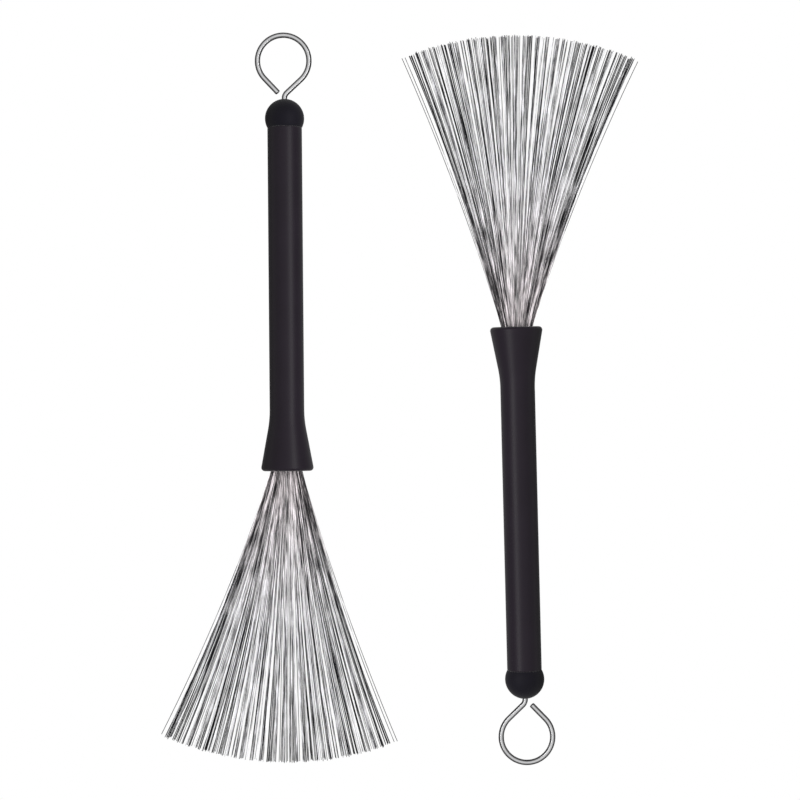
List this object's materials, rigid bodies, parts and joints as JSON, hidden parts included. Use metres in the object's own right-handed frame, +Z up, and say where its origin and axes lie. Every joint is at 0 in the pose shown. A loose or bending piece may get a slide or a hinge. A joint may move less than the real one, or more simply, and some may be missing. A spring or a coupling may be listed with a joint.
{
  "type": "wire drum brushes",
  "caption": "Pair of retractable wire drum brushes with rubber handles, lying flat in opposite directions, wires pulled out into flat fans and loops at the rear ends.",
  "frame": {"origin": "on the table under the centre of the pair's bounding box", "axes": "+Z up from the table, +Y along the brushes towards the left brush's loop, +X from the left brush to the right brush"},
  "size_m": [0.2128, 0.3275, 0.0232],
  "materials": {
    "grip_rubber": "matte black moulded rubber",
    "ball_rubber": "matte black moulded rubber",
    "tube_aluminium": "drawn, satin",
    "bush_plastic": "natural nylon",
    "rod_steel": "bright nickel plated wire",
    "ferrule_brass": "turned and crimped",
    "ring_rubber": "smooth black nitrile",
    "wire_steel": "bright drawn spring steel"
  },
  "bodies": {
    "left_handle": {"left_handle_tube": "tube_aluminium", "left_grip_sleeve": "grip_rubber", "left_ball_end": "ball_rubber", "left_rear_bush": "bush_plastic"},
    "left_rod": {"left_pull_rod": "rod_steel", "left_wire_plug": "ferrule_brass", "left_friction_rings": "ring_rubber", "left_wires_row_1": "wire_steel", "left_wires_row_2": "wire_steel", "left_wires_row_3": "wire_steel", "left_wires_row_4": "wire_steel", "left_wires_row_5": "wire_steel", "left_wires_row_6": "wire_steel", "left_wires_row_7": "wire_steel", "left_wires_row_8": "wire_steel", "left_wires_row_9": "wire_steel"},
    "right_handle": {"right_handle_tube": "tube_aluminium", "right_grip_sleeve": "grip_rubber", "right_ball_end": "ball_rubber", "right_rear_bush": "bush_plastic"},
    "right_rod": {"right_pull_rod": "rod_steel", "right_wire_plug": "ferrule_brass", "right_friction_rings": "ring_rubber", "right_wires_row_1": "wire_steel", "right_wires_row_2": "wire_steel", "right_wires_row_3": "wire_steel", "right_wires_row_4": "wire_steel", "right_wires_row_5": "wire_steel", "right_wires_row_6": "wire_steel", "right_wires_row_7": "wire_steel", "right_wires_row_8": "wire_steel", "right_wires_row_9": "wire_steel"}
  },
  "joints": [
    {"name": "left_rod_slide", "type": "slide", "parent": "left_handle", "child": "left_rod", "axis": [-0.0092, 0.9998, -0.0185], "range_m": [0, 0.1234], "deforming": ["left_wires_row_1", "left_wires_row_2", "left_wires_row_3", "left_wires_row_4", "left_wires_row_5", "left_wires_row_6", "left_wires_row_7", "left_wires_row_8", "left_wires_row_9"]},
    {"name": "right_brush_lift", "type": "slide", "parent": "left_handle", "child": "right_handle", "axis": [0, 0, 1], "range_m": [0, 0.1]},
    {"name": "right_rod_slide", "type": "slide", "parent": "right_handle", "child": "right_rod", "axis": [0.0253, -0.9995, -0.0184], "range_m": [0, 0.1234], "deforming": ["right_wires_row_1", "right_wires_row_2", "right_wires_row_3", "right_wires_row_4", "right_wires_row_5", "right_wires_row_6", "right_wires_row_7", "right_wires_row_8", "right_wires_row_9"]}
  ]
}
